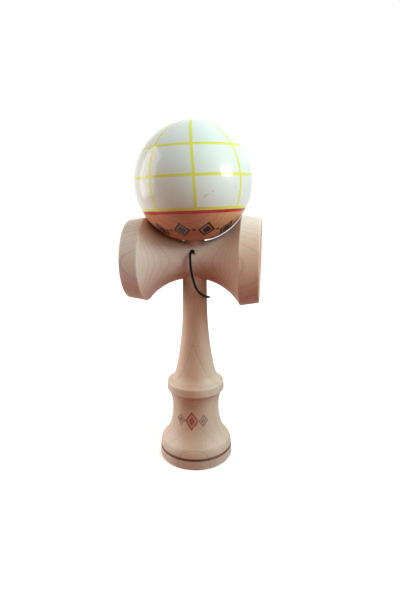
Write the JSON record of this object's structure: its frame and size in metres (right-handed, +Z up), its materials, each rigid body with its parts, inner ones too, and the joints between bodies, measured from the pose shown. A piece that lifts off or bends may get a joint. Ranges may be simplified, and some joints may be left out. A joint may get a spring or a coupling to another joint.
{
  "type": "cup and ball toy",
  "caption": "Turned wooden cup and ball toy: a ringed sword with a cupped foot, a cross piece with a cup at each end and a spike, and a bored painted ball on a string that sits on the spike.",
  "frame": {"origin": "centre of the sword's foot on the surface it stands on, with the ball seated on the spike", "axes": "+Z up the sword to the ball, +X along the cross piece to the big cup, and the string hole faces -Y"},
  "size_m": [0.0709, 0.0718, 0.1862],
  "materials": {
    "maple": "bare turned maple, sanded smooth, with a burnt groove round the foot",
    "ball_lacquer": "gloss white lacquer with thin yellow lines on the upper part, a thin red line and clear-coated wood below",
    "bead_wood": "bare wood",
    "string": "black braided nylon"
  },
  "bodies": {
    "sword": {"sword": "maple", "cross_piece": "maple", "sword_knot": "string", "string_front": "string"},
    "bead": {"ball_bead": "bead_wood", "bead_knot": "string", "string_back": "string"},
    "ball": {"ball": "ball_lacquer"}
  },
  "joints": [
    {"name": "ball_lift", "type": "slide", "parent": "sword", "child": "bead", "axis": [0, 0, 1], "range_m": [0, 0.045]},
    {"name": "ball_spin", "type": "hinge", "parent": "bead", "child": "ball", "pos_m": [-0.0004, 0, 0.15488], "axis": [-0.0305, 0, 0.9995], "continuous": true}
  ]
}
